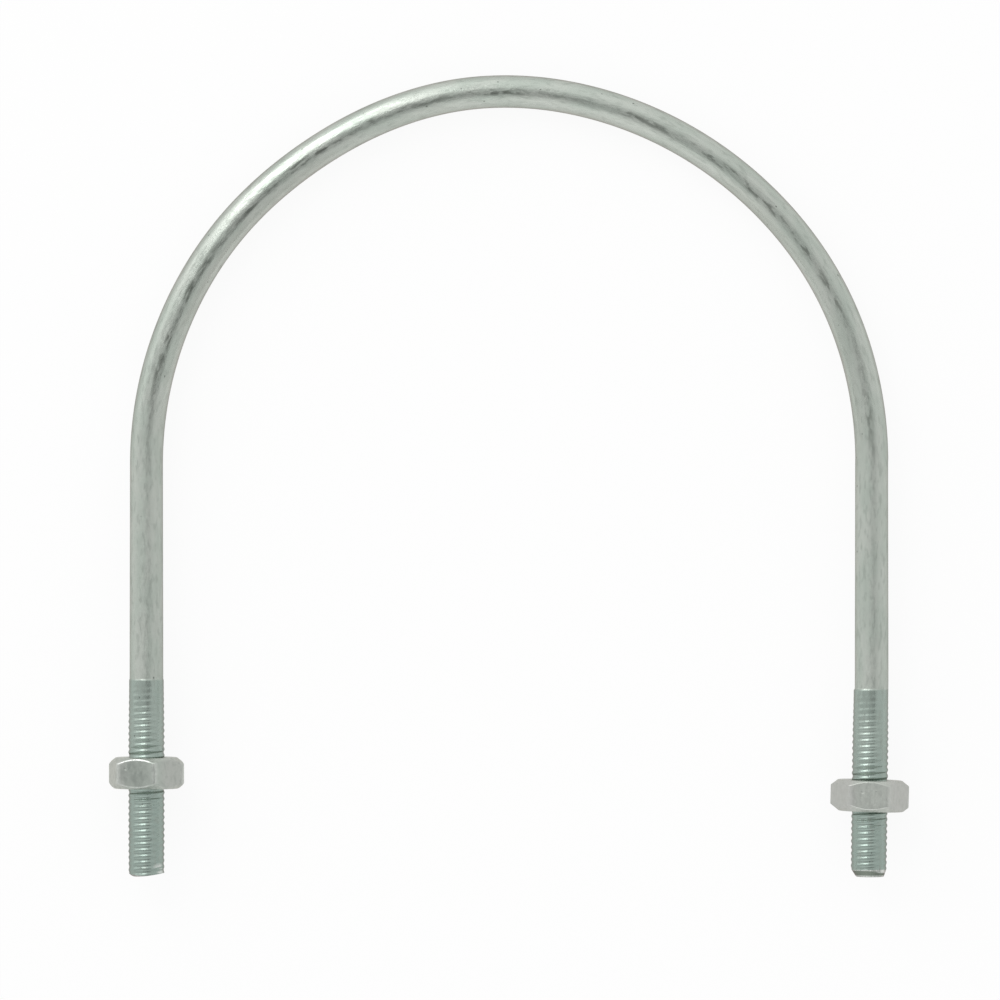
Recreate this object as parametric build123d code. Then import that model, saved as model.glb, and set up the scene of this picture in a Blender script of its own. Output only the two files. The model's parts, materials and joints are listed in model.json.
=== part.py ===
from build123d import *

import os
from dataclasses import dataclass
from math import cos, hypot, radians, sin, tan

# A U-bolt that clamps a pole against a plate: one round rod bent to a U, with a rolled
# thread on both legs and a hexagon nut on each thread. Millimetres and degrees.
# The pieces are drawn in the plane of the bow, with the origin at the pole's centre, the
# legs along -Y and the arch towards +Y. The whole is then laid on a floor as it comes to
# rest: on the crown of the bow and on one corner of each nut.

# Rod and bow
rod_diameter = 6.7
clear_width = 140.0  # between the legs: the diameter of the pole
crown_rise = 1.9  # how far the top of the bow stands above a true half circle
crown_half_angle = 10.4  # to each side of the top, the bow is bent a little tighter
leg_length = 83.5  # from the pole's centre to the far end of each leg

# Rolled threads: their crests stand proud of the bare rod
thread_diameter = 7.3
left_thread_length = 40.1
right_thread_length = 38.1
run_out_length = 0.8

# Leg ends, as the shear left them before rolling: a flat, off the leg's middle, inside a
# bevel. The left one is also cut askew, and its bevel is shallow and on one side only.
end_bevel_width = 0.82
left_shear_angle = 9.0
left_bevel_angle = 35.0
left_bevel_offset = 1.85
right_bevel_angle = 61.0
right_bevel_offset = 0.27

# Hexagon nuts
nut_across_flats = 14.0
nut_height = 6.3
nut_corner_radius = 1.1
bow_face_diameter = 12.0  # of the flat that the chamfer leaves on the face nearer the bow
end_face_diameter = 13.0  # and on the face nearer the leg's end
nut_chamfer_angle = 38.0
nut_mouth_diameter = 8.7
bore_clearance = 0.08  # radial, between the nut's bore and the crests of the thread
left_chamfer_offset = 0.4  # the chamfer nearer the bow is struck off centre, by this towards +X
right_chamfer_offset = -0.55
right_nut_skew = -1.5  # the right nut was tapped askew, so its outside leans on its thread

# Where the nuts stand: the thread that shows past each, and the turn of a corner from
# straight up towards +X
left_thread_past_nut = 17.85
right_thread_past_nut = 13.25
left_nut_turn = 11.5
right_nut_turn = 26.0

rod_radius = rod_diameter / 2
thread_radius = thread_diameter / 2
leg_x = clear_width / 2 + rod_radius
bore_radius = thread_radius + bore_clearance
left_nut_y = left_thread_past_nut + nut_height / 2 - leg_length
right_nut_y = right_thread_past_nut + nut_height / 2 - leg_length

# The bow is three arcs: a tighter crown between two shoulders, all tangent. A shoulder's
# centre lies past the middle, on the far side from its leg.
shoulder_centre_x = crown_rise / (1 - tan(radians(crown_half_angle) / 2))
shoulder_radius = leg_x + shoulder_centre_x
crown_radius = shoulder_radius - shoulder_centre_x / sin(radians(crown_half_angle))
crown_centre_y = leg_x + crown_rise - crown_radius


def bent_rod(centre_x, centre_y, bend_radius, start_angle, arc):
    """The rod bent through an arc in the plane of the bow."""
    section = Pos(bend_radius, 0, 0) * (Plane.XZ * Circle(rod_radius))
    return Pos(centre_x, centre_y, 0) * Rot(0, 0, start_angle) * revolve(section, Axis.Z, arc)


def turned(points):
    """A solid of revolution about Y, from the corners (radius, y) of its half section."""
    return revolve(make_face(Polyline(*points, close=True)), Axis.Y)


def leg(thread_length):
    """A straight leg about Y: bare rod, the thread's run-out, then the thread's crests."""
    thread_start = thread_length - leg_length
    spare = thread_diameter  # cut away by the shearing of the end
    return turned(
        [
            (0, 0),
            (rod_radius, 0),
            (rod_radius, thread_start),
            (thread_radius, thread_start - run_out_length),
            (thread_radius, -leg_length - spare),
            (0, -leg_length - spare),
        ]
    )


def end_waste(bevel_angle, offset, shear_angle=0.0):
    """What shearing and bevelling take off a leg's end, about the leg's own axis."""
    flat_radius = thread_radius - end_bevel_width
    wide = flat_radius + thread_diameter
    waste = turned(
        [
            (0, 0),
            (flat_radius, 0),
            (wide, (wide - flat_radius) * tan(radians(bevel_angle))),
            (wide, -3 * thread_diameter),
            (0, -3 * thread_diameter),
        ]
    )
    # the shear's cut turns about the flat's edge, which is the leg's lowest point
    return (
        Pos(offset - flat_radius, -leg_length, 0)
        * Rot(0, 0, shear_angle)
        * Pos(flat_radius, 0, 0)
        * waste
    )


def u_bolt():
    """The bent and threaded rod."""
    shoulder_arc = 90 - crown_half_angle
    bow = (
        bent_rod(-shoulder_centre_x, 0, shoulder_radius, 0, shoulder_arc)
        + bent_rod(0, crown_centre_y, crown_radius, shoulder_arc, 2 * crown_half_angle)
        + bent_rod(shoulder_centre_x, 0, shoulder_radius, 90 + crown_half_angle, shoulder_arc)
    )
    left_waste = end_waste(left_bevel_angle, left_bevel_offset, left_shear_angle)
    right_waste = end_waste(right_bevel_angle, right_bevel_offset)
    left_leg = Pos(-leg_x, 0, 0) * (leg(left_thread_length) - left_waste)
    right_leg = Pos(leg_x, 0, 0) * (leg(right_thread_length) - right_waste)
    return bow + left_leg + right_leg


def chamfered_end(face_diameter, reach):
    """The room inside one chamfer: a turned cone about Y that narrows to the nut's face at +Y."""
    half_height = nut_height / 2
    face_radius = face_diameter / 2
    chamfer_drop = (reach - face_radius) * tan(radians(nut_chamfer_angle))
    return turned(
        [
            (0, half_height),
            (face_radius, half_height),
            (reach, half_height - chamfer_drop),
            (reach, -half_height),
            (0, -half_height),
        ]
    )


def tapped_hole():
    """What tapping takes out of a nut: a plain bore with a 90 degree countersink at each face."""
    spare = nut_corner_radius  # past the faces, which may lean
    top = nut_height / 2 + spare
    wide = nut_mouth_diameter / 2 + spare
    bore_top = top - (wide - bore_radius)
    return turned(
        [(0, top), (wide, top), (bore_radius, bore_top), (bore_radius, -bore_top), (wide, -top), (0, -top)]
    )


@dataclass(frozen=True)
class Nut:
    """A hexagon nut about a leg, with rounded corners and both faces chamfered."""

    x: float
    y: float
    turn: float
    chamfer_offset: float
    skew: float = 0.0

    def place(self):
        """The outside's own place: its axis along Y, leaning by the skew."""
        return Pos(self.x, self.y, 0) * Rot(0, 0, self.skew)

    def solid(self):
        hexagon = RegularPolygon(nut_across_flats / 2, 6, major_radius=False, rotation=90 - self.turn)
        hexagon = fillet(hexagon.vertices(), nut_corner_radius)
        prism = extrude(Plane.XZ * hexagon, nut_height / 2, both=True)
        reach = nut_across_flats / 2 / cos(radians(30)) + abs(self.chamfer_offset)
        bow_end = Pos(self.chamfer_offset, 0, 0) * chamfered_end(bow_face_diameter, reach)
        far_end = Rot(0, 0, 180) * chamfered_end(end_face_diameter, reach)
        outside = self.place() * (prism & bow_end & far_end)
        return outside - Pos(self.x, self.y, 0) * tapped_hole()

    def lowest_point(self):
        """Where the lowest corner meets the chamfer nearer the bow: the nut rests on it."""
        lean = radians((self.turn + 30) % 60 - 30)
        corner_centre = (nut_across_flats / 2 - nut_corner_radius) / cos(radians(30))
        side = -corner_centre * sin(lean)
        down = corner_centre * cos(lean) + nut_corner_radius
        off_centre = hypot(side - self.chamfer_offset, down)
        chamfer_drop = (off_centre - bow_face_diameter / 2) * tan(radians(nut_chamfer_angle))
        return (self.place() * Pos(side, nut_height / 2 - chamfer_drop, -down)).position


nut_left = Nut(-leg_x, left_nut_y, left_nut_turn, left_chamfer_offset)
nut_right = Nut(leg_x, right_nut_y, right_nut_turn, right_chamfer_offset, right_nut_skew)


def resting_place():
    """The move from the plane of the bow to the floor's level."""
    left = nut_left.lowest_point()
    right = nut_right.lowest_point()
    crown = Vector(0, leg_x + crown_rise, -rod_radius)
    up = (right - left).cross(crown - left).normalized()
    return Plane(origin=(0, 0, 0), x_dir=Vector(0, 1, 0).cross(up), z_dir=up).location.inverse()


pieces = {"u_bolt": u_bolt(), "nut_left": nut_left.solid(), "nut_right": nut_right.solid()}

os.makedirs("parts", exist_ok=True)
for name, piece in pieces.items():
    export_step(resting_place() * piece, f"parts/{name}.step")
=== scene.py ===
"""Dresses a pole clamp for its picture: a U-bolt bent from round steel rod, and its two nuts.

Lengths are millimetres in the plane of the bow, with x to the right, y towards the arch, z up
out of the plane and the origin at the centre of the clamped pole. A piece is carried into the
frame's metres when its mesh is made.
"""

import json
import logging
import math
from dataclasses import dataclass, field
from enum import Enum

import bpy
import numpy as np
from mathutils import Matrix, Vector


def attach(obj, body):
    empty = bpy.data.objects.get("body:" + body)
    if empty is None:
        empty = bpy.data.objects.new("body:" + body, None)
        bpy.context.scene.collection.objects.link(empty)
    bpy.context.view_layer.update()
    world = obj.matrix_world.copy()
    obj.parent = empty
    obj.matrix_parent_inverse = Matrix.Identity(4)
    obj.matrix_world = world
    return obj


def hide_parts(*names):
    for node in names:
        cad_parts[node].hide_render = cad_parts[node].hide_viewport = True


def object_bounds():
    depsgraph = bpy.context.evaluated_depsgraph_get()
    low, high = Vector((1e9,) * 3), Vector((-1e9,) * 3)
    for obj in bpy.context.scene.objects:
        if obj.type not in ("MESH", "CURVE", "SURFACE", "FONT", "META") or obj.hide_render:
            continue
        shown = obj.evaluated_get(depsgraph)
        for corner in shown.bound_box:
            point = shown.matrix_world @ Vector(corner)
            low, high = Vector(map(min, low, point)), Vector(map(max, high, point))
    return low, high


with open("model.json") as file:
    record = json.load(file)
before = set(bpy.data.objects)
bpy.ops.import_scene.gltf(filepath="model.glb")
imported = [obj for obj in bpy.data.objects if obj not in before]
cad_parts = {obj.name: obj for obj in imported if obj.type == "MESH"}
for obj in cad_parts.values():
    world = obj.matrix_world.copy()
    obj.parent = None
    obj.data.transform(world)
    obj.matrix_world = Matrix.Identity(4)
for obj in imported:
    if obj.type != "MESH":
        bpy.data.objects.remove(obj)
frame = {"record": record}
cad_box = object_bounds()

log = logging.getLogger("pole_clamp")

MM = 0.001
OWN_PLACE = "own_place"  # a point's place along, across and up its own piece, in millimetres
THREADED = "threaded"  # 0 on the bare rod, 1 where the thread was rolled
THREAD_DEPTH = "thread_depth"  # 0 on bare metal and on a crest, 1 at the root of the thread
SHEARED = "sheared"  # 1 on a leg's end, where the shear and the bevel cut it
WEAR_AND_HIGHLIGHT_EDGE = "wear_and_highlight_edge"  # 1 on an edge that is painted bright: partly wear, partly a painted highlight
SIXTH_TURN = math.tau / 6  # from one corner of a hexagon to the next
MIX_COLOUR_INPUTS = (0, 6, 7)  # a mix node's share and two colours, by their numbers
MIX_COLOUR_OUTPUT = 2

Colour = tuple[float, float, float, float]
Point = tuple[float, float, float]
Socket = bpy.types.NodeSocket


def ease(value: np.ndarray) -> np.ndarray:
    """Runs smoothly from 0 to 1 as its argument does, and stays there."""
    held = np.clip(value, 0.0, 1.0)
    return held * held * (3.0 - 2.0 * held)


def section_point(reach: np.ndarray, y: np.ndarray) -> np.ndarray:
    """One point of a section in every column, as its reach from the axis and its height."""
    return np.stack([reach, y], axis=-1)


class Side(Enum):
    """The two legs, by the sign of their x."""

    LEFT = -1
    RIGHT = 1


@dataclass(frozen=True)
class BowPlane:
    """The plane of the bow as the clamp lies in the frame."""

    origin: Vector
    right: Vector
    arch: Vector
    out: Vector

    @classmethod
    def from_mounts(cls, mounts: dict[str, dict]) -> "BowPlane":
        """Reads the plane from the pole's seat and the direction of the legs.

        Args:
            mounts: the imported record's mounts, by name.

        Returns:
            The plane, with unit directions in the frame.
        """
        seat = mounts["pole_seat"]
        out = Vector(seat["axis"]).normalized()
        arch = -Vector(mounts["leg_pattern"]["axis"]).normalized()
        return cls(Vector(seat["pos_m"]), arch.cross(out), arch, out)

    def to_frame(self, points: np.ndarray) -> np.ndarray:
        """Carries millimetres of the plane into metres of the frame.

        Args:
            points: one point, or one a row.

        Returns:
            The same points in the frame.
        """
        axes = np.array([self.right, self.arch, self.out])
        return np.array(self.origin) + (np.asarray(points) * MM) @ axes

    def direction(self, x: float, y: float, z: float) -> Vector:
        """A unit direction of the frame, from its parts in the plane."""
        return (self.right * x + self.arch * y + self.out * z).normalized()


@dataclass
class Skin:
    """A skin in the making: rings of points, each joined to the one before it."""

    mark_names: tuple[str, ...]
    points: list[np.ndarray] = field(default_factory=list)
    places: list[np.ndarray] = field(default_factory=list)
    marks: list[tuple[np.ndarray, ...]] = field(default_factory=list)

    def add(self, points: np.ndarray, places: np.ndarray, *marks: np.ndarray) -> None:
        """Adds a ring, or a tip of one point.

        Args:
            points: the ring's points in the plane of the bow.
            places: each point's place on its own piece.
            *marks: each point's marks, in the order of their names, or none at all for zeros.
        """
        self.points.append(points)
        self.places.append(places)
        self.marks.append(marks or tuple(np.zeros(len(points)) for _ in self.mark_names))

    def extend(self, other: "Skin", backwards: bool = False) -> None:
        """Adds another skin's rings after these.

        Args:
            other: the skin to add.
            backwards: whether its rings come from the last one back.
        """
        step = -1 if backwards else 1
        self.points += other.points[::step]
        self.places += other.places[::step]
        self.marks += other.marks[::step]

    def faces(self, looped: bool) -> list[tuple[int, ...]]:
        """The faces between neighbouring rings.

        Args:
            looped: whether the last ring is joined to the first.

        Returns:
            Each face as the numbers of its points.
        """
        starts = np.cumsum([0] + [len(ring) for ring in self.points]).tolist()
        rings = list(range(len(self.points)))
        pairs = list(zip(rings, rings[1:]))
        if looped:
            pairs.append((rings[-1], 0))
        found: list[tuple[int, ...]] = []
        for near, far in pairs:
            near_count, far_count = len(self.points[near]), len(self.points[far])
            count = max(near_count, far_count)
            for step in range(count):
                after = (step + 1) % count
                corners = []
                if near_count == 1:
                    corners.append(starts[near])
                else:
                    corners += [starts[near] + step, starts[near] + after]
                if far_count == 1:
                    corners.append(starts[far])
                else:
                    corners += [starts[far] + after, starts[far] + step]
                found.append(tuple(corners))
        return found

    def piece(self, name: str, plane: BowPlane, looped: bool = False) -> bpy.types.Object:
        """Makes the skin's object, smooth shaded and in the frame.

        Args:
            name: the piece's name.
            plane: the plane that the points are in.
            looped: whether the last ring is joined to the first.

        Returns:
            The new object, with its place and its marks as attributes.
        """
        mesh = bpy.data.meshes.new(name)
        mesh.from_pydata(plane.to_frame(np.concatenate(self.points)).tolist(), [], self.faces(looped))
        places = mesh.attributes.new(OWN_PLACE, "FLOAT_VECTOR", "POINT")
        places.data.foreach_set("vector", np.concatenate(self.places).ravel())
        for mark_name, values in zip(self.mark_names, zip(*self.marks)):
            mark = mesh.attributes.new(mark_name, "FLOAT", "POINT")
            mark.data.foreach_set("value", np.concatenate(values))
        mesh.polygons.foreach_set("use_smooth", [True] * len(mesh.polygons))
        mesh.update()
        piece = bpy.data.objects.new(name, mesh)
        bpy.context.scene.collection.objects.link(piece)
        return piece


@dataclass(frozen=True)
class ThreadForm:
    """The rolled right-hand thread: rounded crests, and flanks that fall to a rounded root."""

    pitch: float = 1.25
    crest_width: float = 0.10
    flank_width: float = 0.50
    rows_per_pitch: int = 14

    def crest_share(self, y: np.ndarray, turn: np.ndarray, crest_y: float) -> np.ndarray:
        """How much of a crest a point is.

        Args:
            y: how far along the leg.
            turn: the angle about the leg from straight up towards +X, in radians.
            crest_y: where a crest crosses the leg's upper side.

        Returns:
            1 on a crest and 0 at a root.
        """
        turns_off = (y - crest_y) / self.pitch - turn / math.tau
        off = np.abs(turns_off - np.round(turns_off)) * self.pitch
        fall = np.clip((off - self.crest_width / 2) / self.flank_width, 0.0, 1.0)
        return 0.5 + 0.5 * np.cos(math.pi * fall)

    def row_step(self) -> float:
        """The distance between two rings of a threaded skin."""
        return self.pitch / self.rows_per_pitch


@dataclass(frozen=True)
class Around:
    """The directions of a leg's ring of points: outwards first, then over the upper side."""

    across: np.ndarray
    up: np.ndarray
    turn: np.ndarray  # from straight up towards +X

    @classmethod
    def leg(cls, side: Side, segments: int) -> "Around":
        """The directions about one leg.

        Args:
            side: the leg.
            segments: how many points a ring has.

        Returns:
            The directions, evenly spread.
        """
        steps = np.arange(segments) * math.tau / segments
        across = side.value * np.cos(steps)
        up = np.sin(steps)
        return cls(across, up, np.arctan2(across, up))


@dataclass(frozen=True)
class LegEnd:
    """A leg's end as the shear left it: a flat inside a bevel, off the leg's middle."""

    flat_radius: float
    bevel_angle: float
    offset: float
    shear_angle: float = 0.0
    roll: float = 1.0  # above 1, the bevel starts flat and is rolled over towards the rim
    roll_width: float = 3.0
    level_rim: float = 0.0  # above 0, the bevel's rim is all at this height, whatever its width
    rim_radius: float = 3.61
    edge_softness: float = 0.07
    halvings: int = 24  # in the search for the surface, each of which halves what is left

    def height(self, x: np.ndarray, z: np.ndarray) -> np.ndarray:
        """How far the end's surface stands above its lowest point.

        Args:
            x: sideways from the leg's axis, towards +X.
            z: upwards from the leg's axis.

        Returns:
            The height towards the bow.
        """
        shear = math.radians(self.shear_angle)
        past_low_edge = x - (self.offset - self.flat_radius)
        from_centre = np.hypot(past_low_edge / math.cos(shear) - self.flat_radius, z)
        past_flat = from_centre - self.flat_radius
        rolled = (np.maximum(past_flat, 0.0) / self.roll_width) ** (self.roll - 1.0)
        slope: float | np.ndarray = math.tan(math.radians(self.bevel_angle))
        if self.level_rim > 0.0:
            turned = np.arctan2(z, x - self.offset)
            aside = self.offset * np.sin(turned)
            to_rim = np.sqrt(self.rim_radius**2 - aside**2) - self.offset * np.cos(turned)
            slope = self.level_rim / (to_rim - self.flat_radius)
        bevel = past_flat * rolled * slope
        rounded = self.edge_softness * np.logaddexp(0.0, bevel / self.edge_softness)
        return past_low_edge * math.tan(shear) + rounded / math.cos(shear)

    def flat_edge(self, around: Around) -> np.ndarray:
        """How far from the leg's axis the flat runs.

        Args:
            around: the directions about the axis.

        Returns:
            The distance to the flat's rim in each direction.
        """
        shear = math.cos(math.radians(self.shear_angle))
        centre = self.offset - self.flat_radius * (1 - shear)
        slope = around.across / shear
        spread = slope**2 + around.up**2
        along = slope * centre / shear
        inside = self.flat_radius**2 - (centre / shear) ** 2
        return (along + np.sqrt(along**2 + spread * inside)) / spread

    def reach(self, height: np.ndarray, around: Around, inner: np.ndarray, outer: float) -> np.ndarray:
        """How far from the leg's axis the end's surface comes up to a height.

        Args:
            height: above the end's lowest point, in each direction.
            around: the directions about the axis.
            inner: the flat's rim, where the bevel begins.
            outer: a distance that the surface doesn't reach.

        Returns:
            The distance in each direction.
        """
        low = inner
        high = np.full(len(inner), outer)
        for _ in range(self.halvings):
            middle = (low + high) / 2
            below = self.height(middle * around.across, middle * around.up) < height
            low = np.where(below, middle, low)
            high = np.where(below, high, middle)
        return low


@dataclass(frozen=True)
class Leg:
    """A straight leg: bare shank, the thread's run-out, the thread and the sheared end."""

    side: Side
    axis_x: float
    length: float
    thread_length: float
    crest_y: float
    end: LegEnd
    form: ThreadForm
    spring_radius: float
    shank_radius: float = 3.40
    first_crest_radius: float = 3.50
    crest_radius: float = 3.66
    last_crest_radius: float = 3.61
    root_radius: float = 3.49
    crest_growth: float = 12.0  # the crests rise to their full size over this length
    end_slimming: float = 9.0  # and fall again over this length at the end
    run_out: float = 0.45  # the shank rises to the first crest over this length
    first_valley: float = 0.30
    valley_growth: float = 1.6
    bend_start: float = -43.0  # below this the leg may lean
    bend_ease: float = 1.5
    bend_angle: float = 0.0
    jog: float = 0.0  # towards +X, where the thread starts
    rim_softness: float = 0.03
    rim_highlight: float = 0.22  # how far in from the rim an end is painted bright: a painted highlight, partly wear
    low_highlight: float = 0.20  # and how far up from its lowest edge a second painted highlight runs
    low_highlight_width: float = 0.12
    cut_width: float = 0.15  # in from the rim, over which the cut metal's colour comes in
    depth_margin: float = 0.2  # under the root, over which the mark of the thread's depth comes in
    first_tint: float = 0.75  # of the thread's colour, where the thread starts
    tint_start: float = 0.7  # of the crests' growth, from where the colour deepens to its full share
    flat_margin: float = 0.1  # at least, between the flat and the thread's root
    flat_shares: tuple[float, ...] = (0.3, 0.6, 0.82, 0.93, 0.97, 1.0)  # the flat's rings, outwards
    end_zone: float = 2.6
    end_rows: int = 44
    end_crowding: float = 1.3  # above 1, the rows stand closer together near the flat
    shank_step: float = 1.5

    def thread_start(self) -> float:
        """Where the thread begins, on the side of the bow."""
        return self.thread_length - self.length

    def bend(self, y: np.ndarray) -> np.ndarray:
        """How far the leg leans towards +X at a height.

        Args:
            y: how far along the leg.

        Returns:
            The lean, which is negative towards -X.
        """
        past = np.maximum(self.bend_start - y, 0.0)
        eased = past - self.bend_ease * (1 - np.exp(-past / self.bend_ease))
        jogged = self.jog * ease((self.thread_start() - y) / self.run_out)
        return eased * math.tan(math.radians(self.bend_angle)) + jogged

    def depth(self, y: np.ndarray, turn: np.ndarray) -> np.ndarray:
        """How deep in the thread a point lies.

        Args:
            y: how far along the leg.
            turn: the angle about the leg from straight up towards +X, in radians.

        Returns:
            0 on bare metal or a crest, 1 at a root.
        """
        into = self.thread_start() - y
        cut = ease((into - self.first_valley) / self.valley_growth)
        return cut * (1.0 - self.form.crest_share(y, turn, self.crest_y))

    def radius(self, y: np.ndarray, turn: np.ndarray) -> np.ndarray:
        """The leg's radius.

        Args:
            y: how far along the leg.
            turn: the angle about the leg from straight up towards +X, in radians.

        Returns:
            The distance from the leg's axis to its skin.
        """
        into = self.thread_start() - y
        to_spring = ease(y / self.thread_start())
        shank = self.spring_radius + (self.shank_radius - self.spring_radius) * to_spring
        grown = ease(into / self.crest_growth)
        slimmed = ease(1.0 - (y + self.length) / self.end_slimming)
        crest = self.first_crest_radius + (self.crest_radius - self.first_crest_radius) * grown
        crest = crest - (self.crest_radius - self.last_crest_radius) * slimmed
        threaded = crest - (crest - self.root_radius) * self.depth(y, turn)
        return shank + (threaded - shank) * ease(into / self.run_out)

    def add_ring(self, made: Skin, reach: np.ndarray, y: np.ndarray, around: Around) -> None:
        """Adds a ring of the end's face, or of the side.

        Args:
            made: the skin that gets the ring.
            reach: each point's distance from the leg's axis.
            y: each point's place along the leg.
            around: the directions about the axis.
        """
        across = reach * around.across
        up = reach * around.up
        points = np.stack([self.axis_x + self.bend(y) + across, y, up], axis=-1)
        places = np.stack([y, across, up], axis=-1)
        on_side = ease((reach - self.root_radius) / self.depth_margin + 1.0)
        into = self.thread_start() - y
        deepened = ease(into / self.crest_growth - self.tint_start)
        tint = self.first_tint + (1.0 - self.first_tint) * deepened
        threaded = ease(into / self.run_out) * tint
        under_side = self.radius(y, around.turn) - reach
        # a painted highlight in a band inside the end's rim and along its lowest edge, partly wear
        under_rim = ease(under_side / self.rim_highlight)
        low_edge = np.exp(-(((y + self.length - self.low_highlight) / self.low_highlight_width) ** 2))
        wear_and_highlight = np.minimum(4.0 * under_rim * (1.0 - under_rim) + low_edge, 1.0)
        depth = on_side * self.depth(y, around.turn)
        made.add(points, places, threaded, depth, ease(under_side / self.cut_width), wear_and_highlight)

    def add_end(self, made: Skin, around: Around) -> None:
        """Adds the end's middle point, its flat and its bevel, up to the end zone's top.

        Args:
            made: the skin, still empty.
            around: the directions about the axis.
        """
        bottom = -self.length
        middle_y = bottom + self.end.height(np.zeros(1), np.zeros(1))
        middle = np.stack([self.axis_x + self.bend(middle_y), middle_y, np.zeros(1)], axis=-1)
        marks = (np.ones(1), np.zeros(1), np.ones(1), np.zeros(1))
        made.add(middle, np.stack([middle_y, np.zeros(1), np.zeros(1)], axis=-1), *marks)
        edge = np.minimum(self.end.flat_edge(around), self.root_radius - self.flat_margin)
        for share in self.flat_shares:
            across, up = share * edge * around.across, share * edge * around.up
            self.add_ring(made, share * edge, bottom + self.end.height(across, up), around)
        edge_y = bottom + self.end.height(edge * around.across, edge * around.up)
        zone_top = bottom + self.end_zone
        for row in range(1, self.end_rows):
            y = edge_y + (zone_top - edge_y) * (row / self.end_rows) ** self.end_crowding
            bevel = self.end.reach(y - bottom, around, edge, 2 * self.crest_radius)
            side = self.radius(y, around.turn)
            soft = self.rim_softness
            self.add_ring(made, -soft * np.logaddexp(-bevel / soft, -side / soft), y, around)

    def skin(self, segments: int) -> Skin:
        """The leg's skin, from the middle of its end up to the spring of the bow.

        Args:
            segments: how many points a ring has.

        Returns:
            The rings, the end's middle point first.
        """
        around = Around.leg(self.side, segments)
        made = Skin((THREADED, THREAD_DEPTH, SHEARED, WEAR_AND_HIGHLIGHT_EDGE))
        self.add_end(made, around)
        zone_top = self.end_zone - self.length
        threaded_top = self.thread_start() + self.run_out
        shank_rows = round(-threaded_top / self.shank_step)
        threaded_rows = np.arange(zone_top, threaded_top, self.form.row_step())
        for height in (*threaded_rows, *np.linspace(threaded_top, 0.0, shank_rows)):
            y = np.full(segments, height)
            self.add_ring(made, self.radius(y, around.turn), y, around)
        return made


@dataclass(frozen=True)
class Unevenness:
    """A stretch of the bow that was bent a little further out, or in, than its arc."""

    angle: float
    width: float
    outward: float

    def at(self, angle: float) -> float:
        """How far out the bow stands at an angle because of it."""
        return self.outward * math.exp(-(((angle - self.angle) / self.width) ** 2))


@dataclass(frozen=True)
class Arc:
    """One arc of the bow's middle line, its angles in degrees from +X."""

    centre_x: float
    centre_y: float
    radius: float
    first: float
    last: float


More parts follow.
